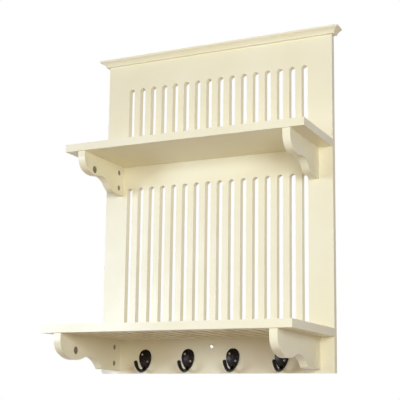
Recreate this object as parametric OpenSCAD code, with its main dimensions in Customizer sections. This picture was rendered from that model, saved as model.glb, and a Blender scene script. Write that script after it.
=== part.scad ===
// Wall-hung plate rack: a slotted back panel with a mitred cornice, two shelves on four
// scroll brackets, and a row of four coat hooks under the lower shelf.
// Millimetres, Z up. The rack faces -Y and its back lies on the wall plane, y = 0.
// The origin is the centre of the wall fixing hole, on the wall plane.

/* [Back panel] */
// Width of the back panel, side to side
panel_width = 600; // [570:1:720]
// Height of the back panel, foot to top
panel_height = 802; // [780:1:900]
// Thickness of the back panel
panel_thickness = 16; // [15:0.5:20]

/* [Plate slots] */
// Distance between neighbouring slots, centre to centre
slot_pitch = 31; // [29:0.5:36]
// Width of each slot
slot_width = 15; // [12:0.5:17]
// Clear board left between the outer slots and the brackets
slot_bracket_gap = 8; // [7:0.5:20]
// Solid panel left above each shelf, below the slots
slot_foot_gap = 8; // [4:1:30]
// Solid panel left above the upper row of slots
upper_slot_headroom = 82; // [70:1:110]
// Solid panel between the lower row of slots and the upper shelf
lower_slot_headroom = 55; // [40:1:90]
// Solid shelf left between the panel and the plate slots in the lower shelf
shelf_slot_back_gap = 40; // [38:1:60]
// Solid shelf left in front of the plate slots in the lower shelf
shelf_slot_front_gap = 35; // [25:1:60]

/* [Shelves] */
// Thickness of both shelves
shelf_thickness = 18; // [16:0.5:22]
// Depth of the upper shelf, in front of the panel
upper_shelf_depth = 194; // [184:1:220]
// Depth of the lower shelf, in front of the panel
lower_shelf_depth = 269; // [255:1:300]
// Height of the upper shelf's underside above the panel's foot
upper_shelf_height = 516; // [480:1:540]
// Height of the lower shelf's underside above the panel's foot
lower_shelf_height = 81; // [78:1:110]

/* [Brackets] */
// Thickness of the bracket boards
bracket_thickness = 18; // [16:0.5:22]
// Distance from the panel's side to a bracket's outer face
bracket_inset = 33; // [28:0.5:40]
// Distance from a shelf's front edge back to its brackets
bracket_setback = 5; // [2:0.5:10]
// Height of a bracket at the panel
bracket_drop = 73; // [70:0.5:76]
// Height of an upper bracket at the top of its arch
upper_arch_drop = 44.5; // [43.5:0.25:45]
// Height of a lower bracket at the top of its arch
lower_arch_drop = 45.75; // [44:0.25:47]
// Height of an upper bracket at its front lobe
upper_lobe_drop = 48; // [47.5:0.25:50]
// Height of a lower bracket at its front lobe
lower_lobe_drop = 57; // [54:0.25:58]
// Radius of an upper bracket's front lobe
upper_lobe_radius = 90; // [80:0.5:95]
// Radius of a lower bracket's front lobe
lower_lobe_radius = 97; // [90:0.5:105]
// Radius of an upper bracket's front corner
upper_corner_radius = 34; // [30:0.5:36]
// Radius of a lower bracket's front corner
lower_corner_radius = 32; // [28:0.5:34]
// Distance from an upper bracket's front to the middle of its lobe
upper_lobe_inset = 50; // [46:0.5:54]
// Distance from a lower bracket's front to the middle of its lobe
lower_lobe_inset = 66; // [62:0.5:70]
// Radius of an upper bracket's arch
upper_arch_radius = 50; // [44:0.5:54]
// Radius of a lower bracket's arch
lower_arch_radius = 70; // [60:0.5:74]
// Radius of an upper bracket's foot, behind its arch
upper_foot_radius = 41; // [30:0.5:44]
// Radius of a lower bracket's foot, behind its arch
lower_foot_radius = 8; // [6:0.5:12]

/* [Cornice] */
// Height of the cornice moulding
cornice_height = 15.5; // [14:0.5:22]
// How far the cornice stands out at its top
cornice_projection = 20; // [18:0.5:26]
// How far the cornice stands out at its foot
cornice_foot_projection = 8; // [4:0.5:10]
// Height of the flat band along the cornice's top
cornice_band = 4.5; // [3:0.5:6]
// Height of the flat band along the cornice's foot
cornice_foot_band = 1.5; // [1:0.25:3]
// Radius of the shallow cove between the cornice's bands
cove_radius = 22; // [16:1:40]

/* [Coat hooks] */
// Distance between neighbouring hooks
hook_pitch = 117; // [90:1:125]
// Height of a hook's back plate
hook_plate_height = 49; // [45:0.5:52]
// Width of a hook's back plate
hook_plate_width = 32; // [30:0.5:35]
// Thickness of a hook's back plate at its middle
hook_plate_crown = 5.5; // [5:0.25:7]
// Radius of the back plate's domed front
hook_dome_radius = 80; // [75:1:100]
// Height of the back plate's foot above the panel's foot
hook_plate_foot = 9; // [6:0.5:14]
// Radius of the hook's curved arm, along its middle
hook_arm_radius = 29; // [28:0.5:31]
// Thickness of the hook's arm
hook_arm_thickness = 8.25; // [7:0.25:9]
// Diameter of the round tip of the hook's arm
hook_tip_diameter = 9.5; // [9.25:0.25:11]
// Distance from the panel to the middle of the arm's curve
hook_arm_reach = 20.5; // [19.5:0.5:23]
// Height of the middle of the arm's curve above the plate's foot
hook_arm_rise = 25.5; // [25:0.5:28]
// Sideways distance from a hook's middle line to each of its screws
hook_screw_side = 7.5; // [6:0.25:8]
// Height of the upper screw above the plate's middle
hook_upper_screw = 12; // [9:0.5:12.5]
// Height of the lower screw above the plate's middle
hook_lower_screw = -5; // [-7:0.5:-4]

/* [Joint fittings] */
// Distance from the panel to the barrel nuts in the brackets
nut_reach = 26; // [24:0.5:30]
// Distance from the shelf down to a bracket's upper barrel nut
upper_nut_drop = 18.5; // [16:0.5:22]
// Distance from the shelf down to a bracket's lower barrel nut
lower_nut_drop = 57; // [50:0.5:60]
// Diameter of a barrel nut
nut_diameter = 13; // [10:0.5:14]
// Diameter of the bolts from the panel into the barrel nuts
bolt_diameter = 6; // [5:0.5:6]
// Diameter of a bolt's flat head
bolt_head_diameter = 11; // [10:0.5:12]
// Thickness of a bolt's flat head
bolt_head_thickness = 3; // [2:0.5:4]
// Distance from the shelf down to a bracket's cam lock
cam_drop = 35.5; // [34:0.5:36]
// Diameter of a cam lock
cam_diameter = 17.5; // [15:0.5:18]
// Distance from an upper bracket's front to its cam lock
upper_cam_inset = 47; // [44:0.5:52]
// Distance from a lower bracket's front to its cam lock
lower_cam_inset = 65; // [60:0.5:70]
// Diameter of a cam bolt's stem
cam_bolt_diameter = 6; // [5:0.5:7]
// Distance from each end of a shelf to its outer screw
outer_screw_inset = 21; // [18:1:25]
// Diameter of the shelf screws
shelf_screw_diameter = 5; // [4:0.5:6]
// Length of the shelf screws
shelf_screw_length = 50; // [45:1:52]

/* [Wall fixings] */
// Height of the wall fixing hole above the panel's foot
fixing_hole_height = 62.5; // [55:0.5:70]
// Diameter of the wall fixing hole
fixing_hole_diameter = 5; // [4:0.5:6]
// Diameter of the cover cap's round head
cap_diameter = 9; // [9:0.5:12]
// How far the cover cap's head stands out
cap_crown = 1.5; // [1:0.25:2.5]
// Diameter of the cover cap's plug
plug_diameter = 7.5; // [7:0.5:8.5]
// Distance from each side of the panel to the middle of its hanger plate
hanger_inset = 50; // [38:1:100]
// Distance from the panel's top down to the round holes of the hangers' keyholes
hanger_drop = 52; // [44:1:56]
// Diameter of the round part of a hanger's keyhole
keyhole_diameter = 9; // [8:0.5:10]
// Width of the narrow part of a hanger's keyhole
keyhole_neck = 4.5; // [4:0.25:5]

/* [Hidden] */
$fn = 48;

// How far a cutter runs past the face it opens
past = 1;
// Gap left all round a fitting in its hole
clearance = 0.15;
// Step between the points of a drawn arc, in degrees
arc_step = 6;

paint = "#F2EBD2";
bronze = "#1E1A1A";
steel = "#8E8C88";
brass = "#8A6A48";
polished = "#E9EAEA";

// Height above the panel's foot, turned into z
function z_at(height) = height - fixing_hole_height;
panel_front = -panel_thickness;
shelf_heights = [upper_shelf_height, lower_shelf_height];
shelf_depths = [upper_shelf_depth, lower_shelf_depth];
bracket_middle = panel_width / 2 - bracket_inset - bracket_thickness / 2;
bracket_inner = bracket_middle - bracket_thickness / 2;
sides = [-1, 1];
UPPER = 0;
LOWER = 1;

// The slots fill the panel between the brackets, a whole number of them
slot_span = 2 * (bracket_inner - slot_bracket_gap) + slot_pitch - slot_width;
slot_count = floor(slot_span / slot_pitch);
function slot_x(i) = (i - (slot_count - 1) / 2) * slot_pitch;
slot_rows = [
    [upper_shelf_height + shelf_thickness + slot_foot_gap, panel_height - upper_slot_headroom],
    [lower_shelf_height + shelf_thickness + slot_foot_gap, upper_shelf_height - lower_slot_headroom]
];

// Each shelf has two screws near its ends and two in the board between slots
inner_screw_reach = slot_pitch * (round((slot_count - 1) / 5) + (slot_count % 2) / 2);
outer_screw_reach = panel_width / 2 - outer_screw_inset;
shelf_screw_x = [-outer_screw_reach, -inner_screw_reach, inner_screw_reach, outer_screw_reach];
// A wood screw's head is this many times as wide as its shank
screw_head_ratio = 1.8;
shelf_screw_head = screw_head_ratio * shelf_screw_diameter;
hook_count = 4;
// The hooks are set by eye, each a little to the left of its even place
hook_shifts = [-1.5, -3.5, -4.5, -0.5];
function hook_x(i) = (i - (hook_count - 1) / 2) * hook_pitch + hook_shifts[i];
hook_middle = z_at(hook_plate_foot + hook_plate_height / 2);
// One screw stands high on the left of a hook's plate, the other low on the right
hook_screw_places = [[-hook_screw_side, hook_upper_screw], [hook_screw_side, hook_lower_screw]];
hook_screw_diameter = 3;
hook_screw_head = 5.5;
hook_screw_depth = 11;
hook_screw_crown = 0.75;
hook_screw_cone = (hook_screw_head - hook_screw_diameter) / 2;
// Sides of the hook's dome, many enough for its shallow curve to come out smooth
dome_sides = 180;

// Board left between a barrel nut and the bracket's outer face
nut_backing = 3;
nut_recess = 1;
nut_length = bracket_thickness - nut_backing - nut_recess;
// How deep a bolt's head sits below the panel's back
bolt_head_sink = 0.5;
bolt_recess = bolt_head_thickness + bolt_head_sink;
// How far a bolt runs on past its barrel nut
bolt_run_out = 2;
bolt_tip = nut_reach + nut_diameter / 2 + bolt_run_out;
cam_depth = 12.5;
cam_recess = 0.5;
// How far a cam bolt reaches up into its shelf
cam_bolt_grip = 11;
// How much wider a cam bolt's ball is than its stem
cam_ball_extra = 1;
cam_ball_diameter = cam_bolt_diameter + cam_ball_extra;
plug_depth = 3.5;
plug_hole_depth = 8;

hanger_length = 50;
hanger_width = 24;
hanger_thickness = 1.5;
hanger_screw_reach = 19;
hanger_screw_diameter = 3;
hanger_screw_head = 5.6;
hanger_screw_length = 11;
keyhole_travel = 10;
// Depth of the room behind a keyhole for the head of the wall's screw
keyhole_room = 6;
// How much wider that room is than the keyhole's round hole
keyhole_room_extra = 2;

// Points along an arc, from one angle to another, after its first point
function arc(centre, radius, from, to) = let (
    steps = max(1, ceil(abs(to - from) / arc_step))
) [for (i = [1 : steps]) let (a = from + (to - from) * i / steps)
    centre + radius * [cos(a), sin(a)]];

// Angle of the line from one point to another, between 0 and 360
function bearing(from, to) = let (
    a = atan2(to[1] - from[1], to[0] - from[0])
) a < 0 ? a + 360 : a;

// Outline of a bracket in the YZ plane, from its top front corner. The panel's front face
// is at 0, forward is negative, and the shelf's underside is at height 0. The front corner,
// lobe, arch and foot are arcs, each of which leaves the last one without a kink.
function bracket_outline(reach, corner_radius, lobe_inset, lobe_drop, lobe_radius,
    arch_drop, arch_radius, foot_radius) = let (
    lobe = [lobe_inset - reach, lobe_radius - lobe_drop],
    corner_y = corner_radius - reach,
    corner = [corner_y, lobe[1] - sqrt(pow(lobe_radius - corner_radius, 2) - pow(lobe[0] - corner_y, 2))],
    arch_z = -arch_drop - arch_radius,
    arch = [lobe[0] + sqrt(pow(lobe_radius + arch_radius, 2) - pow(lobe[1] - arch_z, 2)), arch_z],
    foot_z = foot_radius - bracket_drop,
    foot = [arch[0] + sqrt(pow(arch_radius + foot_radius, 2) - pow(foot_z - arch_z, 2)), foot_z]
) concat(
    [[-reach, 0], [-reach, corner[1]]],
    arc(corner, corner_radius, 180, bearing(lobe, corner)),
    arc(lobe, lobe_radius, bearing(lobe, corner), bearing(lobe, arch)),
    arc(arch, arch_radius, bearing(arch, lobe), bearing(arch, foot)),
    arc(foot, foot_radius, bearing(foot, arch), 270),
    [[0, -bracket_drop], [0, 0]]
);

bracket_outlines = [
    bracket_outline(upper_shelf_depth - bracket_setback, upper_corner_radius,
        upper_lobe_inset, upper_lobe_drop, upper_lobe_radius,
        upper_arch_drop, upper_arch_radius, upper_foot_radius),
    bracket_outline(lower_shelf_depth - bracket_setback, lower_corner_radius,
        lower_lobe_inset, lower_lobe_drop, lower_lobe_radius,
        lower_arch_drop, lower_arch_radius, lower_foot_radius)
];
cam_insets = [upper_cam_inset, lower_cam_inset];
function cam_y(level) = panel_front - shelf_depths[level] + bracket_setback + cam_insets[level];
function shelf_z(level) = z_at(shelf_heights[level]);
nut_drops = [upper_nut_drop, lower_nut_drop];

// A rod along Y, from one y to another
module rod_y(diameter, from, to) {
    translate([0, from, 0])
        rotate([-90, 0, 0])
            cylinder(d = diameter, h = to - from);
}

// A cone along Y, from one y and diameter to another
module cone_y(diameter_from, diameter_to, from, to) {
    translate([0, from, 0])
        rotate([-90, 0, 0])
            cylinder(d1 = diameter_from, d2 = diameter_to, h = to - from);
}

// A rod along X, from one x to another
module rod_x(diameter, from, to) {
    translate([from, 0, 0])
        rotate([0, 90, 0])
            cylinder(d = diameter, h = to - from);
}

// A slot with round ends, drawn upright from its foot
module slot_shape(width, length) {
    translate([0, width / 2])
        circle(d = width);
    translate([-width / 2, width / 2])
        square([width, length - width]);
    translate([0, length - width / 2])
        circle(d = width);
}

// Places its children on the axis of every bracket bolt
module at_bolts() {
    for (level = [UPPER, LOWER], side = sides, drop = nut_drops)
        translate([side * bracket_middle, 0, shelf_z(level) - drop])
            children();
}

// Places its children on the axis of each screw of one shelf
module at_shelf_screws(level) {
    for (x = shelf_screw_x)
        translate([x, 0, shelf_z(level) + shelf_thickness / 2])
            children();
}

// Places its children on the axis of one screw of one hook
module at_hook_screw(i, place) {
    translate([hook_x(i) + place[0], panel_front, hook_middle + place[1]])
        children();
}

// Places its children at the middle of the round hole of one hanger's keyhole
module at_keyhole(side) {
    translate([side * (panel_width / 2 - hanger_inset), 0, z_at(panel_height - hanger_drop)])
        children();
}

// Places its children on the axis of each screw of one hanger
module at_hanger_screws(side) {
    at_keyhole(side)
        for (end = sides)
            translate([end * hanger_screw_reach, 0, keyhole_travel / 2])
                children();
}

// How far a hook's domed plate stands out, where a screw's head is seated
function screw_seat(place) =
    hook_plate_crown - hook_dome_radius + sqrt(pow(hook_dome_radius, 2) - pow(norm(place), 2));

// Plate of a hanger in the XZ plane, with its keyhole's round hole at the origin
module hanger_outline(grow) {
    translate([-hanger_length / 2 - grow, (keyhole_travel - hanger_width) / 2 - grow])
        square([hanger_length + 2 * grow, hanger_width + 2 * grow]);
}

// Slot in the XZ plane, from the round hole of a keyhole to the end of its neck
module neck_outline(width) {
    translate([0, -width / 2])
        slot_shape(width, keyhole_travel + width);
}

// Extrudes a drawing in the XZ plane, from one y to another
module extrude_y(from, to) {
    translate([0, to, 0])
        rotate([90, 0, 0])
            linear_extrude(to - from)
                children();
}

module shelf_screw_hole() {
    rod_y(shelf_screw_diameter + 2 * clearance, panel_front - shelf_screw_length, past);
    cone_y(shelf_screw_diameter + 2 * clearance, shelf_screw_head + 2 * clearance,
        -(shelf_screw_head - shelf_screw_diameter) / 2, 0);
}

module back_panel() {
    color(paint)
        difference() {
            translate([-panel_width / 2, panel_front, z_at(0)])
                cube([panel_width, panel_thickness, panel_height]);
            extrude_y(panel_front - past, past)
                for (row = slot_rows, i = [0 : slot_count - 1])
                    translate([slot_x(i), z_at(row[0])])
                        slot_shape(slot_width, row[1] - row[0]);
            at_bolts() {
                rod_y(bolt_diameter + 2 * clearance, panel_front - past, past);
                rod_y(bolt_head_diameter + 2 * clearance, -bolt_recess, past);
            }
            for (level = [UPPER, LOWER])
                at_shelf_screws(level)
                    shelf_screw_hole();
            for (i = [0 : hook_count - 1], place = hook_screw_places)
                at_hook_screw(i, place)
                    rod_y(hook_screw_diameter + 2 * clearance, -past, hook_screw_depth);
            rod_y(fixing_hole_diameter, panel_front - past, past);
            rod_y(plug_diameter + 2 * clearance, panel_front - past, panel_front + plug_hole_depth);
            for (side = sides)
                hanger_pocket(side);
        }
}

// Room in the panel's back for a hanger plate, its screws and the wall screw's head
module hanger_pocket(side) {
    at_keyhole(side) {
        extrude_y(-hanger_thickness, past)
            hanger_outline(clearance);
        extrude_y(-hanger_thickness - keyhole_room, 0)
            neck_outline(keyhole_diameter + keyhole_room_extra);
    }
    at_hanger_screws(side)
        rod_y(hanger_screw_diameter + 2 * clearance, -hanger_screw_length - past, 0);
}

// Section of the cornice: X is the distance from the board, Y the height from its foot.
// A shallow cove runs from the top of the foot's band out to the foot of the top's band.
module cornice_section() {
    cove_foot = [cornice_foot_projection, cornice_foot_band];
    cove_top = [cornice_projection, cornice_height - cornice_band];
    span = cove_top - cove_foot;
    chord = norm(span);
    middle_reach = sqrt(pow(cove_radius, 2) - pow(chord / 2, 2));
    difference() {
        polygon([
            [0, 0],
            [cornice_foot_projection, 0],
            cove_foot,
            cove_top,
            [cornice_projection, cornice_height],
            [0, cornice_height]
        ]);
        intersection() {
            translate(cove_foot)
                square(span);
            translate((cove_foot + cove_top) / 2 + middle_reach * [span[1], -span[0]] / chord)
                circle(r = cove_radius);
        }
    }
}

cornice_foot = z_at(panel_height - cornice_height);
cornice_front_y = panel_front - cornice_projection;
cornice_side_x = panel_width / 2 + cornice_projection;

module cornice_front() {
    color(paint)
        intersection() {
            translate([-cornice_side_x, panel_front, cornice_foot])
                rotate([90, 0, 90])
                    linear_extrude(2 * cornice_side_x)
                        mirror([1, 0])
                            cornice_section();
            translate([0, 0, cornice_foot])
                linear_extrude(cornice_height)
                    polygon([
                        [-panel_width / 2, panel_front],
                        [-cornice_side_x, cornice_front_y],
                        [cornice_side_x, cornice_front_y],
                        [panel_width / 2, panel_front]
                    ]);
        }
}

module cornice_return(side) {
    color(paint)
        intersection() {
            translate([side * panel_width / 2, cornice_front_y, cornice_foot])
                mirror([side < 0 ? 1 : 0, 0, 0])
                    mirror([0, 1, 0])
                        rotate([90, 0, 0])
                            linear_extrude(-cornice_front_y)
                                cornice_section();
            translate([0, 0, cornice_foot])
                linear_extrude(cornice_height)
                    polygon([
                        [side * panel_width / 2, panel_front],
                        [side * cornice_side_x, cornice_front_y],
                        [side * cornice_side_x, 0],
                        [side * panel_width / 2, 0]
                    ]);
        }
}

module shelf(level) {
    color(paint)
        difference() {
            translate([-panel_width / 2, panel_front - shelf_depths[level], shelf_z(level)])
                cube([panel_width, shelf_depths[level], shelf_thickness]);
            at_shelf_screws(level)
                shelf_screw_hole();
            for (side = sides)
                translate([side * bracket_middle, cam_y(level), shelf_z(level) - past])
                    cylinder(d = cam_bolt_diameter + 2 * clearance, h = cam_bolt_grip + past);
            if (level == LOWER)
                shelf_slots();
        }
}

// Slots in the lower shelf, one in front of each slot of the panel
module shelf_slots() {
    length = lower_shelf_depth - shelf_slot_back_gap - shelf_slot_front_gap;
    front = panel_front - lower_shelf_depth + shelf_slot_front_gap;
    translate([0, front, shelf_z(LOWER) - past])
        linear_extrude(shelf_thickness + 2 * past)
            for (i = [0 : slot_count - 1])
                translate([slot_x(i), 0])
                    slot_shape(slot_width, length);
}

// A bracket on the right is drawn, and one on the left is its mirror image
module bracket(level, side) {
    color(paint)
        mirror([side < 0 ? 1 : 0, 0, 0])
            difference() {
                translate([bracket_inner, panel_front, shelf_z(level)])
                    rotate([90, 0, 90])
                        linear_extrude(bracket_thickness)
                            polygon(bracket_outlines[level]);
                for (drop = nut_drops)
                    translate([0, panel_front - nut_reach, shelf_z(level) - drop]) {
                        rod_x(nut_diameter + 2 * clearance, bracket_inner - past,
                            bracket_inner + nut_recess + nut_length + clearance);
                        translate([bracket_middle, 0, 0])
                            rod_y(bolt_diameter + 2 * clearance, nut_reach - bolt_tip - past,
                                nut_reach + past);
                    }
                translate([0, cam_y(level), shelf_z(level)]) {
                    translate([0, 0, -cam_drop])
                        rod_x(cam_diameter + 2 * clearance, bracket_inner - past,
                            bracket_inner + cam_recess + cam_depth + clearance);
                    translate([bracket_middle, 0, -cam_drop])
                        cylinder(d = cam_ball_diameter + 2 * clearance, h = cam_drop + past);
                }
            }
}

// Cam locks sit in the brackets' inner faces, with a slot up to the cam bolt's head
module bracket_cam_locks() {
    color(steel)
        for (level = [UPPER, LOWER], side = sides)
            mirror([side < 0 ? 1 : 0, 0, 0])
                translate([0, cam_y(level), shelf_z(level) - cam_drop])
                    difference() {
                        rod_x(cam_diameter, bracket_inner + cam_recess,
                            bracket_inner + cam_recess + cam_depth);
                        translate([bracket_middle, 0, 0]) {
                            sphere(d = cam_ball_diameter + cam_ball_extra);
                            cylinder(d = cam_ball_diameter + cam_ball_extra, h = cam_diameter);
                        }
                        cam_cross();
                    }
}

// Cross for a screwdriver in the cam's face
module cam_cross() {
    arm = 6;
    width = 1.4;
    depth = 1.5;
    translate([bracket_inner + cam_recess - past, 0, 0]) {
        translate([0, -arm / 2, -width / 2])
            cube([depth + past, arm, width]);
        translate([0, -width / 2, -arm / 2])
            cube([depth + past, width, arm]);
    }
}

module bracket_cam_bolts() {
    color(steel)
        for (level = [UPPER, LOWER], side = sides)
            translate([side * bracket_middle, cam_y(level), shelf_z(level) - cam_drop]) {
                cylinder(d = cam_bolt_diameter, h = cam_drop + cam_bolt_grip);
                sphere(d = cam_ball_diameter);
            }
}

module bracket_barrel_nuts() {
    color(steel)
        for (level = [UPPER, LOWER], side = sides, drop = nut_drops)
            mirror([side < 0 ? 1 : 0, 0, 0])
                translate([0, panel_front - nut_reach, shelf_z(level) - drop])
                    difference() {
                        rod_x(nut_diameter, bracket_inner + nut_recess,
                            bracket_inner + nut_recess + nut_length);
                        translate([bracket_middle, 0, 0])
                            rod_y(bolt_diameter + 2 * clearance, -nut_diameter, nut_diameter);
                    }
}

module bracket_panel_bolts() {
    socket = 4;
    color(steel)
        at_bolts()
            difference() {
                union() {
                    rod_y(bolt_diameter, panel_front - bolt_tip, -bolt_recess);
                    rod_y(bolt_head_diameter, -bolt_recess, bolt_head_thickness - bolt_recess);
                }
                translate([0, -bolt_head_thickness, 0])
                    rotate([-90, 0, 0])
                        cylinder(d = socket, h = bolt_head_thickness, $fn = 6);
            }
}

module shelf_screws(level) {
    cone = (shelf_screw_head - shelf_screw_diameter) / 2;
    socket = 3;
    color(steel)
        at_shelf_screws(level)
            difference() {
                union() {
                    rod_y(shelf_screw_diameter, -shelf_screw_length, -cone);
                    cone_y(shelf_screw_diameter, shelf_screw_head, -cone, 0);
                }
                translate([0, -cone, 0])
                    rotate([-90, 0, 0])
                        cylinder(d = socket, h = cone + past, $fn = 6);
            }
}

// Egg-shaped outline of a hook's plate, widest above its middle
module hook_plate_outline() {
    taper = 0.22;
    polygon([for (a = [0 : arc_step : 360 - arc_step])
        [cos(a) * (1 + taper * sin(a)) * hook_plate_width / 2, sin(a) * hook_plate_height / 2]]);
}

// One casting: a domed back plate, and an arm that curls forward and up from its foot
module coat_hook(i) {
    arm_y = panel_front - hook_arm_reach;
    arm_z = z_at(hook_plate_foot + hook_arm_rise);
    // The arm starts inside the plate and ends below the level of its curve's middle
    plate_end = -acos((hook_arm_reach - 1) / hook_arm_radius);
    tip_end = -160;
    color(bronze)
        difference() {
            union() {
                intersection() {
                    translate([hook_x(i), 0, hook_middle])
                        extrude_y(panel_front - hook_plate_crown - past, panel_front)
                            hook_plate_outline();
                    translate([hook_x(i), panel_front - hook_plate_crown + hook_dome_radius, hook_middle])
                        sphere(r = hook_dome_radius, $fn = dome_sides);
                }
                translate([hook_x(i), arm_y, arm_z]) {
                    rotate([90, 0, 90])
                        rotate([0, 0, tip_end])
                            rotate_extrude(angle = plate_end - tip_end)
                                translate([hook_arm_radius, 0])
                                    circle(d = hook_arm_thickness);
                    translate([0, hook_arm_radius * cos(tip_end), hook_arm_radius * sin(tip_end)])
                        sphere(d = hook_tip_diameter);
                }
            }
            for (place = hook_screw_places)
                at_hook_screw(i, place) {
                    rod_y(hook_screw_diameter + 2 * clearance, -2 * hook_plate_crown, past);
                    cone_y(hook_screw_head + 2 * clearance, hook_screw_diameter + 2 * clearance,
                        -screw_seat(place), -screw_seat(place) + hook_screw_cone);
                    rod_y(hook_screw_head + 2 * clearance, -2 * hook_plate_crown, -screw_seat(place));
                }
            // The arm's root stops at the panel's face
            translate([hook_x(i) - hook_plate_width, panel_front, z_at(0)])
                cube([2 * hook_plate_width, panel_thickness, lower_shelf_height]);
        }
}

module hook_screws() {
    head_sphere = (pow(hook_screw_head / 2, 2) + pow(hook_screw_crown, 2)) / (2 * hook_screw_crown);
    color(brass)
        for (i = [0 : hook_count - 1], place = hook_screw_places)
            at_hook_screw(i, place)
                translate([0, -screw_seat(place), 0]) {
                    rod_y(hook_screw_diameter, hook_screw_cone, hook_screw_depth);
                    cone_y(hook_screw_head, hook_screw_diameter, 0, hook_screw_cone);
                    intersection() {
                        translate([0, head_sphere - hook_screw_crown, 0])
                            sphere(r = head_sphere);
                        rod_y(hook_screw_head, -hook_screw_crown, 0);
                    }
                }
}

// Half section of the cap's head: X is the distance from its axis, Y the height above the
// panel. A flat face ends in a quarter-round shoulder, which is as high as the head.
module cap_section() {
    face_radius = cap_diameter / 2 - cap_crown;
    square([face_radius, cap_crown]);
    intersection() {
        translate([face_radius, 0])
            circle(r = cap_crown);
        translate([face_radius, 0])
            square(cap_crown);
    }
}

module wall_fixing_cap() {
    color(polished)
        translate([0, panel_front, 0]) {
            rotate([90, 0, 0])
                rotate_extrude()
                    cap_section();
            rod_y(plug_diameter, 0, plug_depth);
        }
}

module hanger_plate(side) {
    color(steel)
        difference() {
            at_keyhole(side)
                extrude_y(-hanger_thickness, 0)
                    difference() {
                        hanger_outline(0);
                        circle(d = keyhole_diameter);
                        neck_outline(keyhole_neck);
                    }
            at_hanger_screws(side)
                cone_y(hanger_screw_diameter + 2 * clearance,
                    hanger_screw_head + 2 * clearance, -hanger_thickness, 0);
        }
}

module hanger_screws() {
    color(steel)
        for (side = sides)
            at_hanger_screws(side) {
                rod_y(hanger_screw_diameter, -hanger_screw_length, -hanger_thickness);
                cone_y(hanger_screw_diameter, hanger_screw_head, -hanger_thickness, 0);
            }
}

back_panel();
cornice_front();
cornice_return(-1);  // cornice_left_return
cornice_return(1);  // cornice_right_return
shelf(UPPER);  // upper_shelf
shelf(LOWER);  // lower_shelf
bracket(UPPER, -1);  // upper_left_bracket
bracket(UPPER, 1);  // upper_right_bracket
bracket(LOWER, -1);  // lower_left_bracket
bracket(LOWER, 1);  // lower_right_bracket
bracket_cam_locks();
bracket_cam_bolts();
bracket_barrel_nuts();
bracket_panel_bolts();
shelf_screws(UPPER);  // upper_shelf_screws
shelf_screws(LOWER);  // lower_shelf_screws
coat_hook(0);  // coat_hook_1
coat_hook(1);  // coat_hook_2
coat_hook(2);  // coat_hook_3
coat_hook(3);  // coat_hook_4
hook_screws();
wall_fixing_cap();
hanger_plate(-1);  // left_hanger_plate
hanger_plate(1);  // right_hanger_plate
hanger_screws();
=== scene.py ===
"""Looks of a cream wall plate rack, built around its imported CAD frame.

Lengths are in metres and in the CAD frame. The origin is the centre of the wall fixing
hole on the wall plane, +Z is up and the rack faces -Y. The boards, the cornice and the
zinc fittings keep their CAD shapes and get eased edges and finishes. The coat hooks,
their screws and the cap are built here in finer detail.
"""

from __future__ import annotations

import logging
import math
from dataclasses import dataclass
from enum import Enum
from typing import Callable, ClassVar, Sequence

import bmesh
import bpy
from mathutils import Matrix, Vector


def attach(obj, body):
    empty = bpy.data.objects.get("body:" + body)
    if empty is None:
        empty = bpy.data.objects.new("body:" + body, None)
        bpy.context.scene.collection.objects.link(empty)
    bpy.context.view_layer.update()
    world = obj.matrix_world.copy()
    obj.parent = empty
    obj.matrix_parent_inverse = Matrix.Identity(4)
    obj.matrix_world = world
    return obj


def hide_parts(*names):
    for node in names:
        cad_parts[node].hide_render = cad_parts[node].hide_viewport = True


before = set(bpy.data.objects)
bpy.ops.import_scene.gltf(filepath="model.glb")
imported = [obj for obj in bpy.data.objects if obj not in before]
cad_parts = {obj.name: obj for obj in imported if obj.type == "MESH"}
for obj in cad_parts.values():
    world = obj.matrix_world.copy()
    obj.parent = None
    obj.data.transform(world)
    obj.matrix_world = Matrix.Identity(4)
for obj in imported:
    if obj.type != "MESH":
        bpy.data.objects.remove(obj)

LOG = logging.getLogger("plate_rack")
MM = 0.001
BODY = "root"

Colour = tuple[float, float, float, float]
Point = tuple[float, float, float]
Range = tuple[float, float]
Section = Sequence[tuple[float, float]]
Ring = list[bmesh.types.BMVert]
# Width of a random pattern's spots in millimetres, and their detail.
Spots = tuple[float, float]

# Parts of a pattern's 0 to 1 that a range is stretched from. Few values lie outside MOST.
MOST: Range = (0.3, 0.7)
MIDDLE: Range = (0.35, 0.65)
FULL: Range = (0.0, 1.0)


def mm(length: float) -> float:
    """Length in metres of a length given in millimetres."""
    return length * MM


def linear(code: str) -> Colour:
    """Turns an sRGB hex colour into the linear colour that a shader takes.

    Args:
        code: Colour such as "#EADFC0".

    Returns:
        Linear red, green, blue and an alpha of one.
    """
    channels = [int(code[i : i + 2], 16) / 255 for i in (1, 3, 5)]
    red, green, blue = (
        c / 12.92 if c <= 0.04045 else ((c + 0.055) / 1.055) ** 2.4 for c in channels
    )
    return red, green, blue, 1.0


def add_node(
    tree: bpy.types.NodeTree,
    kind: str,
    inputs: dict[str | int, object] | Sequence[object] = (),
    **settings: object,
) -> bpy.types.Node:
    """Adds one shader node with its settings, values and links.

    Args:
        tree: Node tree that gets the node.
        kind: Blender's type name of the node.
        inputs: Sockets to link and values to set, by the inputs' names or numbers, or in
            the inputs' own order.
        settings: Properties of the node itself.

    Returns:
        The new node.
    """
    node = tree.nodes.new(kind)
    for name, value in settings.items():
        setattr(node, name, value)
    for name, value in inputs.items() if isinstance(inputs, dict) else enumerate(inputs):
        if isinstance(value, bpy.types.NodeSocket):
            tree.links.new(value, node.inputs[name])
        else:
            node.inputs[name].default_value = value
    return node


class Slot(Enum):
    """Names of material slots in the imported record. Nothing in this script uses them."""

    BRONZE = "dark_bronze"
    BRASS = "antique_brass_screws"
    CAP = "polished_cap"


class Side(Enum):
    """Side of the rack, as the nodes name it."""

    LEFT = "left"
    RIGHT = "right"


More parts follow.
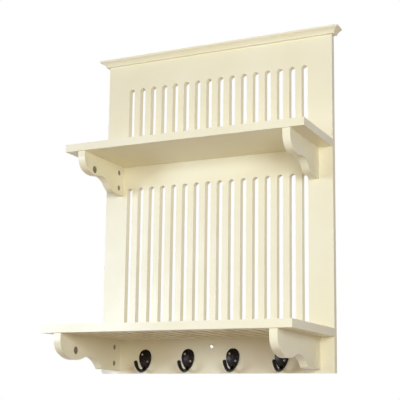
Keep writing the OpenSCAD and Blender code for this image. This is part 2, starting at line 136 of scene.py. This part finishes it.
class Level(Enum):
    """Shelf level, as the nodes name it."""

    UPPER = "upper"
    LOWER = "lower"


@dataclass(frozen=True)
class Finish:
    """Surface finish that fills a material's node tree."""

    title: ClassVar[str] = "finish"
    # Cosine between rounded and flat normal where an edge starts, and where it is full.
    edge: ClassVar[Range] = (0.995, 0.85)

    def material(self) -> bpy.types.Material:
        """Makes the finish's material, or gives it again if it is there already.

        Returns:
            The one material of this finish.
        """
        found = bpy.data.materials.get(self.title)
        if found:
            return found
        made = bpy.data.materials.new(self.title)
        made.use_nodes = True
        made.node_tree.nodes.clear()
        shader = self.shade(made.node_tree)
        add_node(made.node_tree, "ShaderNodeOutputMaterial", {"Surface": shader})
        return made

    def shade(self, tree: bpy.types.NodeTree) -> bpy.types.NodeSocket:
        """Fills the tree and gives the shader's output socket."""
        raise NotImplementedError

    @staticmethod
    def patterns(tree: bpy.types.NodeTree, *spots: Spots) -> list[bpy.types.NodeSocket]:
        """Adds soft random patterns that stay fixed to the piece.

        Args:
            tree: Node tree that gets the patterns.
            spots: Spots of each pattern.

        Returns:
            Output socket of each pattern, from 0 to 1.
        """
        place = add_node(tree, "ShaderNodeTexCoord").outputs["Object"]
        return [
            add_node(
                tree,
                "ShaderNodeTexNoise",
                {"Vector": place, "Scale": 1 / mm(width), "Detail": detail},
            ).outputs[0]
            for width, detail in spots
        ]

    @staticmethod
    def tones(
        tree: bpy.types.NodeTree,
        pattern: bpy.types.NodeSocket,
        source: Range,
        target: Range,
        codes: tuple[str, str],
    ) -> bpy.types.NodeSocket:
        """Adds a colour that follows a pattern from one tone to another.

        Args:
            tree: Node tree that gets the colour.
            pattern: Pattern to follow.
            source: Values of the pattern between which the colour changes.
            target: Shares of the second tone at those values.
            codes: The two tones as sRGB hex colours.

        Returns:
            Output socket of the colour.
        """
        share = add_node(tree, "ShaderNodeMapRange", (pattern, *source, *target)).outputs[0]
        inputs = {0: share, 6: linear(codes[0]), 7: linear(codes[1])}
        return add_node(tree, "ShaderNodeMix", inputs, data_type="RGBA").outputs[2]

    @staticmethod
    def rims(
        tree: bpy.types.NodeTree,
        colour: bpy.types.NodeSocket,
        code: str,
        width_mm: float,
        pattern: bpy.types.NodeSocket,
        source: Range,
        target: Range,
    ) -> bpy.types.NodeSocket:
        """Adds another tone along the outer edges of a coloured surface.

        Args:
            tree: Node tree that gets the colour.
            colour: Colour of the flat surface.
            code: Tone of the edges as an sRGB hex colour.
            width_mm: Width of the toned edges in millimetres.
            pattern: Pattern that the tone's strength follows along the edges.
            source: Values of the pattern between which the strength changes.
            target: Strengths at those values.

        Returns:
            Output socket of the colour.
        """
        rounded = add_node(
            tree, "ShaderNodeBevel", {"Radius": mm(width_mm)}, samples=4
        ).outputs[0]
        flat = add_node(tree, "ShaderNodeNewGeometry").outputs["Normal"]
        cosine = add_node(
            tree, "ShaderNodeVectorMath", (rounded, flat), operation="DOT_PRODUCT"
        ).outputs["Value"]
        edge = add_node(tree, "ShaderNodeMapRange", (cosine, *Finish.edge, *FULL)).outputs[0]
        worn = add_node(tree, "ShaderNodeMapRange", (pattern, *source, *target)).outputs[0]
        share = add_node(tree, "ShaderNodeMath", (edge, worn), operation="MULTIPLY").outputs[0]
        inputs = {0: share, 6: colour, 7: linear(code)}
        return add_node(tree, "ShaderNodeMix", inputs, data_type="RGBA").outputs[2]


@dataclass(frozen=True)
class SprayedCreamEnamel(Finish):
    """Water-based cabinet enamel in buttermilk cream, sprayed on primed fibreboard."""

    # The spray dries to a satin with a fine orange peel, and its passes overlap in slow,
    # soft clouds of tone. Sanding leaves the film thin on the arrises, which look paler.
    title: ClassVar[str] = "sprayed cream enamel"
    tone: tuple[str, str] = ("#F1E8CA", "#EDE3C1")
    satin: Range = (0.30, 0.38)
    # A cloud is as wide as one pass of the spray gun.
    cloud: Spots = (160.0, 3.0)
    # Sanding reaches 2 mm in from an arris, in patches as wide as a fingertip.
    thin: str = "#F6F0DC"
    arris_mm: float = 1.8
    sanded: Spots = (9.0, 4.0)
    sanded_source: Range = (0.4, 0.6)
    sanded_share: Range = (0.25, 0.9)
    # Real peel is 1 to 2 mm across. It is drawn at 4 mm so that it shows at all.
    peel: Spots = (4.0, 1.0)
    # Raised fibres are 0.1 mm wide. They are drawn at 0.9 mm so that a close view shows them.
    fibre: Spots = (0.9, 2.0)
    fibre_share: float = 0.15
    relief: float = 0.25
    relief_mm: float = 0.06
    ior: float = 1.5

    def shade(self, tree: bpy.types.NodeTree) -> bpy.types.NodeSocket:
        """Fills the tree with clouds, sanded arrises, peel and raised fibres.

        Args:
            tree: Node tree that gets the enamel.

        Returns:
            Output socket of the enamel's shader.
        """
        cloud, sanded, peel, fibre = self.patterns(
            tree, self.cloud, self.sanded, self.peel, self.fibre
        )
        colour = self.rims(
            tree,
            self.tones(tree, cloud, MIDDLE, FULL, self.tone),
            self.thin,
            self.arris_mm,
            sanded,
            self.sanded_source,
            self.sanded_share,
        )
        height = add_node(
            tree, "ShaderNodeMath", (fibre, self.fibre_share, peel), operation="MULTIPLY_ADD"
        ).outputs[0]
        bump = add_node(
            tree,
            "ShaderNodeBump",
            {"Strength": self.relief, "Distance": mm(self.relief_mm), "Height": height},
        ).outputs[0]
        gloss = add_node(tree, "ShaderNodeMapRange", (cloud, *MOST, *self.satin)).outputs[0]
        return add_node(
            tree,
            "ShaderNodeBsdfPrincipled",
            {"Base Color": colour, "Roughness": gloss, "IOR": self.ior, "Normal": bump},
        ).outputs[0]


@dataclass(frozen=True)
class Metal(Finish):
    """Metal surface whose tone and gloss follow one pattern, over a fine relief.

    Without a grain of its own, the relief follows the spots.
    """

    tone: tuple[str, str]
    spots: Spots
    spots_source: Range
    roughness: Range
    relief: float
    relief_mm: float
    spots_share: Range = FULL
    grain: Spots | None = None
    rim: str = ""
    rim_mm: float = 0.0
    rim_source: Range = FULL
    rim_share: Range = (1.0, 1.0)

    def shade(self, tree: bpy.types.NodeTree) -> bpy.types.NodeSocket:
        """Fills the tree with the metal's spots, rims and relief.

        Args:
            tree: Node tree that gets the metal.

        Returns:
            Output socket of the metal's shader.
        """
        spots, grain = self.patterns(tree, self.spots, self.grain or self.spots)
        colour = self.tones(tree, spots, self.spots_source, self.spots_share, self.tone)
        if self.rim:
            colour = self.rims(
                tree, colour, self.rim, self.rim_mm, spots, self.rim_source, self.rim_share
            )
        bump = add_node(
            tree,
            "ShaderNodeBump",
            {"Strength": self.relief, "Distance": mm(self.relief_mm), "Height": grain},
        ).outputs[0]
        gloss = add_node(tree, "ShaderNodeMapRange", (spots, *MOST, *self.roughness))
        return add_node(
            tree,
            "ShaderNodeBsdfPrincipled",
            {
                "Base Color": colour,
                "Metallic": 1.0,
                "Roughness": gloss.outputs[0],
                "Normal": bump,
            },
        ).outputs[0]


@dataclass(frozen=True)
class ZincPlate(Metal):
    """Cold-formed steel with dull zinc plating, passivated."""

    # The plating looks grey with faint warm clouds, and wear brightens its rims.
    title: ClassVar[str] = "dull zinc plate"
    tone: tuple[str, str] = ("#A39C90", "#8C8173")
    # Clouds of the passivation bath are about as wide as a fitting.
    spots: Spots = (5.0, 4.0)
    spots_source: Range = MIDDLE
    roughness: Range = (0.38, 0.55)
    # Plating grain is under 0.1 mm. It is drawn at 0.5 mm so that it shows at all.
    grain: Spots = (0.5, 2.0)
    relief: float = 0.3
    relief_mm: float = 0.05
    rim: str = "#C9C4BA"
    rim_mm: float = 0.5


@dataclass(frozen=True)
class RubbedBronze(Metal):
    """Zinc casting under a near-black bronze lacquer, rubbed back by hand."""

    # The lacquer looks glossy and almost black over a faint cast texture, and brown metal
    # shows in places along the rims.
    title: ClassVar[str] = "rubbed dark bronze"
    tone: tuple[str, str] = ("#232020", "#2D2724")
    # Waves of the casting's skin are 2 mm across.
    spots: Spots = (2.2, 4.0)
    spots_source: Range = (0.35, 0.7)
    roughness: Range = (0.2, 0.34)
    relief: float = 0.35
    relief_mm: float = 0.12
    rim: str = "#57463A"
    rim_mm: float = 0.9
    rim_source: Range = (0.42, 0.6)
    rim_share: Range = (0.1, 0.8)


@dataclass(frozen=True)
class AntiqueBrass(Metal):
    """Turned brass screw heads, darkened by dipping and then polished."""

    # The patina looks brown in patches, and the polish lets paler brass through between.
    title: ClassVar[str] = "antique brass"
    tone: tuple[str, str] = ("#4A3D32", "#A48E7A")
    # Patches of patina are a quarter of a head wide.
    spots: Spots = (1.4, 3.0)
    spots_source: Range = MIDDLE
    spots_share: Range = (0.35, 1.0)
    roughness: Range = (0.28, 0.42)
    relief: float = 0.2
    relief_mm: float = 0.04


@dataclass(frozen=True)
class PolishedAluminium(Metal):
    """Aluminium cap, pressed from sheet and barrel polished."""

    # It mirrors the bright room, so it looks white against the shaded board round it, and
    # the barrel leaves it with a faint, fine haze.
    title: ClassVar[str] = "polished aluminium"
    tone: tuple[str, str] = ("#F4F5F5", "#E4E5E6")
    # The barrel's balls are 2 mm wide, and so are their marks.
    spots: Spots = (2.0, 3.0)
    spots_source: Range = FULL
    roughness: Range = (0.08, 0.16)
    # Dimples are about 0.1 mm wide. They are drawn at 0.5 mm so that they show at all.
    grain: Spots = (0.5, 1.0)
    relief: float = 0.1
    relief_mm: float = 0.02


@dataclass(frozen=True)
class StudioPaper(Finish):
    """Rolled background paper, uncoated, which covers the floor."""

    # It looks matt and a warm white, with a mottle too faint to draw the eye.
    title: ClassVar[str] = "studio paper"
    body: str = "#EDE6D8"
    # Paper off a roll lies in slow waves, about 300 mm apart.
    mottle: Spots = (300.0, 2.0)
    matt: Range = (0.85, 0.95)

    def shade(self, tree: bpy.types.NodeTree) -> bpy.types.NodeSocket:
        """Fills the tree with matt paper of a faint mottle.

        Args:
            tree: Node tree that gets the paper.

        Returns:
            Output socket of the paper's shader.
        """
        (mottle,) = self.patterns(tree, self.mottle)
        matt = add_node(tree, "ShaderNodeMapRange", (mottle, *MOST, *self.matt)).outputs[0]
        inputs = {"Base Color": linear(self.body), "Roughness": matt}
        return add_node(tree, "ShaderNodeBsdfPrincipled", inputs).outputs[0]


def dress(obj: bpy.types.Object, finish: Finish) -> None:
    """Gives an object one finish on all its faces."""
    obj.data.materials.clear()
    obj.data.materials.append(finish.material())


def add_object(name: str, data: bpy.types.ID) -> bpy.types.Object:
    """Adds an object to the scene.

    Args:
        name: Name of the new object.
        data: Its mesh, lamp or camera.

    Returns:
        The new object.
    """
    obj = bpy.data.objects.new(name, data)
    bpy.context.scene.collection.objects.link(obj)
    return obj


def add_piece(
    name: str, shape: bmesh.types.BMesh, finish: Finish
) -> bpy.types.Object:
    """Turns a bmesh into a dressed, smoothly shaded object that rides on the rack.

    Args:
        name: Name of the new object and mesh.
        shape: Geometry, which is freed.
        finish: Finish of the whole piece.

    Returns:
        The new object, already in the scene.
    """
    data = bpy.data.meshes.new(name)
    bmesh.ops.recalc_face_normals(shape, faces=shape.faces)
    shape.to_mesh(data)
    shape.free()
    data.shade_smooth()
    obj = add_object(name, data)
    dress(obj, finish)
    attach(obj, BODY)
    return obj


def settle_modifiers(obj: bpy.types.Object) -> None:
    """Replaces an object's mesh with the one that its modifiers give.

    Args:
        obj: Object whose modifiers are settled and removed.
    """
    depsgraph = bpy.context.evaluated_depsgraph_get()
    data = bpy.data.meshes.new_from_object(obj.evaluated_get(depsgraph))
    obj.modifiers.clear()
    obj.data = data


def turned(section: Section, sides: int = 40) -> bmesh.types.BMesh:
    """Turns a section about the Y axis, as on a lathe.

    Args:
        section: Points as (radius, y) from the front of the axis to its back, in metres.
        sides: Number of steps round the axis.

    Returns:
        Closed shape with its axis on Y.
    """
    shape = bmesh.new()
    rings = []
    for radius, y in section:
        if radius == 0:
            rings.append([shape.verts.new((0, y, 0))])
            continue
        steps = (math.tau * i / sides for i in range(sides))
        rings.append(
            [shape.verts.new((radius * math.cos(a), y, radius * math.sin(a))) for a in steps]
        )
    for ring, following in zip(rings, rings[1:]):
        for i in range(sides):
            j = (i + 1) % sides
            corners = [ring[i % len(ring)], ring[j % len(ring)]]
            corners += [following[j % len(following)], following[i % len(following)]]
            shape.faces.new(dict.fromkeys(corners))
    return shape


def skin(shape: bmesh.types.BMesh, rings: Sequence[Ring]) -> None:
    """Joins rings of points with faces, and closes the first ring and the last.

    Args:
        shape: Geometry that gets the faces.
        rings: Rings with equal numbers of points, in order.
    """
    for ring, following in zip(rings, rings[1:]):
        for i in range(len(ring)):
            j = (i + 1) % len(ring)
            shape.faces.new((ring[i], ring[j], following[j], following[i]))
    shape.faces.new(rings[0])
    shape.faces.new(rings[-1])


def boxed(size: Vector, middle: Vector) -> bmesh.types.BMesh:
    """Gives a box for use as a cutter.

    Args:
        size: Lengths of its sides along X, Y and Z.
        middle: Its middle point.

    Returns:
        Closed box.
    """
    shape = bmesh.new()
    matrix = Matrix.Translation(middle) @ Matrix.Diagonal((*size, 1.0))
    bmesh.ops.create_cube(shape, size=1.0, matrix=matrix)
    return shape


def carve(obj: bpy.types.Object, cutters: Sequence[bmesh.types.BMesh]) -> None:
    """Cuts shapes out of an object and removes the cutters.

    Args:
        obj: Object to cut.
        cutters: Closed shapes to cut out, which are freed.
    """
    for shape in cutters:
        data = bpy.data.meshes.new("cutter")
        shape.to_mesh(data)
        shape.free()
        cutter = add_object("cutter", data)
        cut = obj.modifiers.new("cut", "BOOLEAN")
        cut.operation, cut.object, cut.solver = "DIFFERENCE", cutter, "EXACT"
        settle_modifiers(obj)
        bpy.data.objects.remove(cutter)


@dataclass(frozen=True)
class EasedEdges:
    """Rounding of a machined piece's arrises, made by modifiers on its CAD mesh."""

    radius: float
    steps: int = 3
    seam: float = mm(0.002)
    flat_angle: float = math.radians(0.4)
    arris_angle: float = math.radians(35)

    def ease(self, obj: bpy.types.Object) -> None:
        """Rounds a piece's arrises and evens its shading.

        Args:
            obj: Piece with its CAD mesh.
        """
        weld = obj.modifiers.new("joined seams", "WELD")
        weld.merge_threshold = self.seam
        flat = obj.modifiers.new("whole faces", "DECIMATE")
        flat.decimate_type, flat.angle_limit = "DISSOLVE", self.flat_angle
        arris = obj.modifiers.new("eased arris", "BEVEL")
        arris.width, arris.segments = self.radius, self.steps
        arris.limit_method, arris.angle_limit = "ANGLE", self.arris_angle
        arris.use_clamp_overlap = True
        even = obj.modifiers.new("even shading", "WEIGHTED_NORMAL")
        even.keep_sharp = True


@dataclass
class Boards:
    """Painted boards of the rack, which keep their CAD shapes."""

    board_ease: float = mm(1.4)
    cornice_ease: float = mm(0.7)

    def names(self) -> dict[str, float]:
        """Lists the painted nodes.

        Returns:
            Each painted node with the radius of its arrises.
        """
        boards = ["back_panel", "upper_shelf", "lower_shelf"]
        boards += [f"{level.value}_{side.value}_bracket" for level in Level for side in Side]
        cornice = ["cornice_front", *(f"cornice_{side.value}_return" for side in Side)]
        return {n: self.board_ease for n in boards} | {n: self.cornice_ease for n in cornice}

    def build(self) -> None:
        """Eases and paints every board."""
        for name, radius in self.names().items():
            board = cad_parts[name]
            EasedEdges(radius).ease(board)
            dress(board, SprayedCreamEnamel())
            LOG.info("painted %s", name)


@dataclass
class Fittings:
    """Zinc fittings that keep their CAD shapes."""

    nodes: tuple[str, ...] = (
        "bracket_cam_locks",
        "bracket_cam_bolts",
        "bracket_barrel_nuts",
        "bracket_panel_bolts",
        "upper_shelf_screws",
        "lower_shelf_screws",
        "left_hanger_plate",
        "right_hanger_plate",
        "hanger_screws",
    )
    edges: EasedEdges = EasedEdges(radius=mm(0.2), steps=2)

    def build(self) -> None:
        """Eases and plates every fitting."""
        for name in self.nodes:
            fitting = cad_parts[name]
            self.edges.ease(fitting)
            dress(fitting, ZincPlate())
            LOG.info("plated %s", name)


@dataclass
class HookScrew:
    """Domed screw head of a coat hook, with a cross recess."""

    number: int
    seat: Vector
    head: float = mm(5.5)
    crown: float = mm(0.75)
    dome_steps: int = 8
    rim: float = mm(0.3)
    # The rim is straight down to this share of its height, and then narrows to the neck.
    rim_foot: float = 0.3
    neck: float = 0.6
    neck_depth: float = mm(1.2)
    recess_length: float = mm(2.9)
    recess_width: float = mm(0.75)
    recess_depth: float = mm(0.9)
    # The cutters start this far in front of the head.
    clearance: float = mm(0.3)
    # Screws stop at any angle. Each one's cross is turned by a step more than the one before.
    first_turn: float = 17.0
    turn_step: float = 31.0
    ease: float = mm(0.12)
    ease_steps: int = 2
    ease_angle: float = math.radians(40)
    sharp_angle: float = math.radians(35)

    def section(self) -> Section:
        """Draws the head's section, from its crown to the end of its neck.

        Returns:
            Points as (radius, y), with the seat at y = 0.
        """
        radius = self.head / 2
        ball = (radius**2 + self.crown**2) / (2 * self.crown)
        top = -self.rim - self.crown
        across = [radius * i / self.dome_steps for i in range(self.dome_steps + 1)]
        return [
            *((r, top + ball - math.sqrt(ball**2 - r**2)) for r in across),
            (radius, -self.rim * self.rim_foot),
            (radius * self.neck, self.neck_depth),
            (0, self.neck_depth),
        ]

    def build(self) -> bpy.types.Object:
        """Builds the screw's head in its seat.

        Returns:
            The finished head.
        """
        name = f"hook_screw_{self.number}"
        piece = add_piece(name, turned(self.section()), AntiqueBrass())
        long, wide = self.recess_length, self.recess_width
        deep = self.recess_depth + self.clearance
        front = -self.rim - self.crown - self.clearance
        middle = Vector((0, front + deep / 2, 0))
        bars = [Vector((long, deep, wide)), Vector((wide, deep, long))]
        carve(piece, [boxed(bar, middle) for bar in bars])
        angle = math.radians(self.first_turn + self.turn_step * self.number)
        turn = Matrix.Rotation(angle, 4, "Y")
        piece.data.transform(Matrix.Translation(self.seat) @ turn)
        crisp = piece.modifiers.new("crisp rims", "BEVEL")
        crisp.width, crisp.segments = self.ease, self.ease_steps
        crisp.angle_limit = self.ease_angle
        settle_modifiers(piece)
        piece.data.set_sharp_from_angle(angle=self.sharp_angle)
        return piece


@dataclass
class CoatHook:
    """Coat hook: a domed egg-shaped plate and an arm that curls forward and up."""

    number: int
    middle: Vector
    plate: tuple[float, float] = (mm(32), mm(49))
    taper: float = 0.22
    crown: float = mm(5.5)
    dome: float = mm(80)
    rim: float = mm(1.3)
    rim_steps: int = 4
    # Places of the plate's inner rings, as shares of half its width in from the outline.
    inner_rings: tuple[float, ...] = (0.2, 0.4, 0.6, 0.8, 0.93)
    sides: int = 72
    arm_middle: tuple[float, float] = (mm(-20.5), mm(1))
    arm_curve: float = mm(29)
    arm_start: float = mm(-1)
    arm_thickness: float = mm(8.25)
    arm_steps: int = 36
    arm_sides: int = 28
    # The arm is thicker at its root by root_swell, which fades over root_share of its length.
    root_swell: float = 0.3
    root_share: float = 0.35
    tip: float = mm(9.5)
    tip_from: float = 0.7
    tip_angle: float = math.radians(-160)
    tip_rings: int = 18
    voxel: float = mm(0.5)
    softness: float = 0.5
    softenings: int = 7
    screws: tuple[tuple[float, float], ...] = ((mm(-7.5), mm(12)), (mm(7.5), mm(-5)))
    seat_radius: float = mm(2.95)
    seat_depth: float = mm(0.3)
    # What stands further than this in front of the plate belongs to the arm.
    arm_clearance: float = mm(1)

    def height(self, distance: float) -> float:
        """Gives how far the dome stands out, at a distance from its middle."""
        return self.crown - self.dome + math.sqrt(self.dome**2 - distance**2)

    def edge(self, angle: float) -> Vector:
        """Finds a point of the plate's outline.

        Args:
            angle: Direction of the point from the plate's middle, from +X to +Z.

        Returns:
            The point, in the XZ plane.
        """
        width, height = self.plate
        egg = 1 + self.taper * math.sin(angle)
        return Vector((math.cos(angle) * egg * width / 2, 0, math.sin(angle) * height / 2))

    def seat(self, x: float, z: float) -> Vector:
        """Gives the middle of a screw's seat, let into the dome at x and z."""
        return Vector((x, -self.height(math.hypot(x, z)) + self.seat_depth, z))

    def ring(
        self, shape: bmesh.types.BMesh, inset: float, depth: Callable[[Vector], float]
    ) -> Ring:
        """Adds a ring of the plate.

        Args:
            shape: Geometry that gets the ring.
            inset: How far the ring lies in from the outline.
            depth: Gives how far a point of the ring stands out.

        Returns:
            The ring's points in order.
        """
        verts = []
        for i in range(self.sides):
            point = self.edge(math.tau * i / self.sides)
            point *= max(0.0, 1 - inset / point.length)
            verts.append(shape.verts.new((point.x, -depth(point), point.z)))
        return verts

    def add_plate(self, shape: bmesh.types.BMesh) -> None:
        """Adds the domed plate, with its rim rounded over.

        Args:
            shape: Geometry that gets the plate.
        """
        rings = [self.ring(shape, 0, lambda point: 0.0)]
        for step in range(self.rim_steps + 1):
            roll = math.radians(90 / self.rim_steps * step)
            inset = self.rim * (1 - math.cos(roll))
            drop = self.rim * (1 - math.sin(roll))
            rings.append(
                self.ring(
                    shape, inset, lambda point, drop=drop: self.height(point.length) - drop
                )
            )
        for share in self.inner_rings:
            inset = self.plate[0] / 2 * share
            rings.append(self.ring(shape, inset, lambda point: self.height(point.length)))
        skin(shape, rings)

    def add_arm(self, shape: bmesh.types.BMesh) -> None:
        """Adds the arm as a tube that swells at its root and ends in a ball.

        Args:
            shape: Geometry that gets the arm.
        """
        middle = Vector((0, *self.arm_middle))
        start = -math.acos((self.arm_start - middle.y) / self.arm_curve)
        aside = Vector((1, 0, 0))
        rings = []
        for i in range(self.arm_steps + 1):
            share = i / self.arm_steps
            angle = start + (self.tip_angle - start) * share
            root = self.root_swell * max(0.0, 1 - share / self.root_share) ** 2
            near_tip = max(0.0, (share - self.tip_from) / (1 - self.tip_from))
            swell = (self.tip / self.arm_thickness - 1) * near_tip**2
            radius = self.arm_thickness / 2 * (1 + root + swell)
            out = Vector((0, math.cos(angle), math.sin(angle)))
            centre = middle + out * self.arm_curve
            turns = (math.tau * k / self.arm_sides for k in range(self.arm_sides))
            rings.append(
                [
                    shape.verts.new(centre + radius * (math.cos(a) * aside + math.sin(a) * out))
                    for a in turns
                ]
            )
        skin(shape, rings)
        bmesh.ops.create_uvsphere(
            shape,
            u_segments=self.arm_sides,
            v_segments=self.tip_rings,
            radius=self.tip / 2,
            matrix=Matrix.Translation(centre),
        )

    def fuse(self, piece: bpy.types.Object) -> None:
        """Fuses plate and arm into one casting with soft fillets and screw seats.

        Args:
            piece: Object that holds the plate and the arm.
        """
        cast = piece.modifiers.new("one casting", "REMESH")
        cast.mode, cast.voxel_size = "VOXEL", self.voxel
        cast.use_smooth_shade = True
        soft = piece.modifiers.new("soft fillets", "SMOOTH")
        soft.factor, soft.iterations = self.softness, self.softenings
        settle_modifiers(piece)
        seats = [self.seat(x, z) for x, z in self.screws]
        for vert in piece.data.vertices:
            vert.co.y = min(vert.co.y, 0.0)
            if vert.co.y < -self.crown - self.arm_clearance:
                continue
            for seat in seats:
                if math.hypot(vert.co.x - seat.x, vert.co.z - seat.z) < self.seat_radius:
                    vert.co.y = max(vert.co.y, seat.y)

    def build(self) -> None:
        """Builds the casting and its two screws in place of their CAD nodes."""
        shape = bmesh.new()
        self.add_plate(shape)
        self.add_arm(shape)
        piece = add_piece(f"hook_casting_{self.number}", shape, RubbedBronze())
        self.fuse(piece)
        piece.data.transform(Matrix.Translation(self.middle))
        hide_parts(f"coat_hook_{self.number}")
        LOG.info("cast coat hook %d", self.number)
        first = len(self.screws) * (self.number - 1) + 1
        for number, (x, z) in enumerate(self.screws, first):
            screw = HookScrew(number, self.middle + self.seat(x, z)).build()
            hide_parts("hook_screws")
            LOG.info("drove hook screw %d", number)


@dataclass
class HookRow:
    """Row of coat hooks under the lower shelf, each a little off its even place."""

    pitch: float = mm(117)
    shifts: tuple[float, ...] = (mm(-1.5), mm(-3.5), mm(-4.5), mm(-0.5))
    height: float = mm(-29)
    face: float = mm(-16)

    def build(self) -> None:
        """Builds every hook of the row."""
        for i, shift in enumerate(self.shifts):
            x = (i - (len(self.shifts) - 1) / 2) * self.pitch + shift
            CoatHook(i + 1, Vector((x, self.face, self.height))).build()


@dataclass
class WallFixingCap:
    """Polished cap over the wall fixing hole, with a flat face and a round shoulder.

    It was pressed in by hand, so it sits a little out of square, with its face tipped down.
    """

    width: float = mm(9)
    crown: float = mm(1.5)
    shoulder_steps: int = 9
    # A ring just inside the flat's edge keeps the shoulder's shading off the flat.
    flat_share: float = 0.96
    plug: float = mm(7.5)
    plug_depth: float = mm(3.5)
    chamfer: float = mm(0.5)
    tip_down: float = math.radians(2.5)
    sharp_angle: float = math.radians(50)
    face: float = mm(-16)

    def section(self) -> Section:
        """Draws the cap's section, from the middle of its face to the end of its plug.

        Returns:
            Points as (radius, y), with the board's face at y = 0.
        """
        flat = self.width / 2 - self.crown
        plug = self.plug / 2
        steps = range(self.shoulder_steps + 1)
        arc = [math.radians(90 / self.shoulder_steps * i) for i in steps]
        return [
            (0, -self.crown),
            (flat * self.flat_share, -self.crown),
            *((flat + self.crown * math.sin(a), -self.crown * math.cos(a)) for a in arc),
            (plug, 0),
            (plug, self.plug_depth - self.chamfer),
            (plug - self.chamfer, self.plug_depth),
            (0, self.plug_depth),
        ]

    def build(self) -> None:
        """Builds the cap in place of its CAD node."""
        cap = add_piece("fixing_cap", turned(self.section()), PolishedAluminium())
        tip = Matrix.Rotation(self.tip_down, 4, "X")
        cap.data.transform(Matrix.Translation((0, self.face, 0)) @ tip)
        cap.data.set_sharp_from_angle(angle=self.sharp_angle)
        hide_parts("wall_fixing_cap")
        LOG.info("pressed the fixing cap")


@dataclass(frozen=True)
class Softbox:
    """Rectangular studio lamp, aimed at the middle of the rack."""

    name: str
    place: Point
    size: tuple[float, float]
    watts: float
    tone: str
    aim: Point = (0, -0.1, 0.33)

    def build(self) -> None:
        """Adds the lamp."""
        data = bpy.data.lights.new(self.name, "AREA")
        data.shape, data.energy = "RECTANGLE", self.watts
        data.size, data.size_y = self.size
        data.color = linear(self.tone)[:3]
        lamp = add_object(self.name, data)
        lamp.location = self.place
        ahead = Vector(self.aim) - Vector(self.place)
        lamp.rotation_euler = ahead.to_track_quat("-Z", "Y").to_euler()


@dataclass
class Studio:
    """Paper floor, white surroundings, three soft lamps in front and two weak ones."""

    floor_height: float = -1.45
    floor_size: float = 2.8
    ambient: float = 0.16
    ambient_tone: str = "#FFC88C"
    lamps: tuple[Softbox, ...] = (
        Softbox("right_softbox", (1.6, -2.15, 0.35), (0.8, 0.8), watts=44.5, tone="#DEEFFF"),
        Softbox("left_softbox", (-1.6, -2.15, 0.35), (0.8, 0.8), watts=31.5, tone="#D4E6FF"),
        Softbox("front_softbox", (0.89, -2.54, 0.35), (0.8, 0.8), watts=10.5, tone="#FFECC9"),
        Softbox("top_softbox", (0, -0.11, 2.5), (0.6, 0.3), watts=16.0, tone="#F4F8FF"),
        Softbox("back_softbox", (0, 2.4, 0.9), (0.5, 0.9), watts=20.0, tone="#F4F8FF"),
    )

    def add_floor(self) -> None:
        """Adds the paper floor."""
        data = bpy.data.meshes.new("studio_floor")
        half = self.floor_size / 2
        corners = [(-half, -half), (half, -half), (half, half), (-half, half)]
        data.from_pydata([(x, y, self.floor_height) for x, y in corners], [], [(0, 1, 2, 3)])
        floor = add_object("studio_floor", data)
        dress(floor, StudioPaper())

    def add_world(self) -> None:
        """Adds white surroundings, full white only to the eye, gloss and glass."""
        world = bpy.data.worlds.new("white surroundings")
        world.use_nodes = True
        tree = world.node_tree
        tree.nodes.clear()
        path = add_node(tree, "ShaderNodeLightPath")
        seen = path.outputs["Is Camera Ray"]
        for ray in ("Is Glossy Ray", "Is Transmission Ray"):
            seen = add_node(
                tree, "ShaderNodeMath", (seen, path.outputs[ray]), operation="MAXIMUM"
            ).outputs[0]
        strength = add_node(
            tree, "ShaderNodeMapRange", (seen, *FULL, self.ambient, 1.0)
        ).outputs[0]
        tone = Finish.tones(tree, seen, FULL, FULL, (self.ambient_tone, "#FFFFFF"))
        light = add_node(tree, "ShaderNodeBackground", {"Color": tone, "Strength": strength})
        add_node(tree, "ShaderNodeOutputWorld", {"Surface": light.outputs[0]})
        bpy.context.scene.world = world

    def build(self) -> None:
        """Adds floor, surroundings and lamps."""
        self.add_floor()
        self.add_world()
        for lamp in self.lamps:
            lamp.build()
            LOG.info("lit %s", lamp.name)


@dataclass
class PhotoCamera:
    """Camera at the photograph's place, solved from the rack's own corners.

    Angles are in degrees. The focal length, the picture's width and its middle are in pixels.
    """

    place: Point = (0.99791, -2.16065, -0.13975)
    turn: float = 26.016
    rise: float = 9.685
    roll: float = 0.798
    picture: float = 400.0
    focal: float = 1002.795
    middle: tuple[float, float] = (194.859, 235.507)
    sensor: float = 36.0

    def build(self) -> None:
        """Adds the camera and makes it the scene's own."""
        data = bpy.data.cameras.new("photo_camera")
        data.sensor_width = self.sensor
        data.lens = self.focal / self.picture * self.sensor
        data.shift_x = 0.5 - self.middle[0] / self.picture
        data.shift_y = self.middle[1] / self.picture - 0.5
        turn, rise, roll = (math.radians(a) for a in (self.turn, self.rise, self.roll))
        ahead = Vector(
            (-math.sin(turn) * math.cos(rise), math.cos(turn) * math.cos(rise), math.sin(rise))
        )
        right = Vector((math.cos(turn), math.sin(turn), 0))
        upward = right.cross(ahead)
        across = math.cos(roll) * right + math.sin(roll) * upward
        above = -math.sin(roll) * right + math.cos(roll) * upward
        axes = Matrix((across, above, -ahead)).transposed().to_4x4()
        camera = add_object("photo_camera", data)
        camera.matrix_world = Matrix.Translation(self.place) @ axes
        bpy.context.scene.camera = camera


def main() -> None:
    """Dresses the rack, then sets up the studio and the camera."""
    logging.basicConfig(level=logging.INFO, format="%(message)s")
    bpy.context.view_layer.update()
    Boards().build()
    Fittings().build()
    HookRow().build()
    WallFixingCap().build()
    Studio().build()
    PhotoCamera().build()
    bpy.context.scene.view_settings.view_transform = "Standard"


if __name__ == "__main__":
    main()
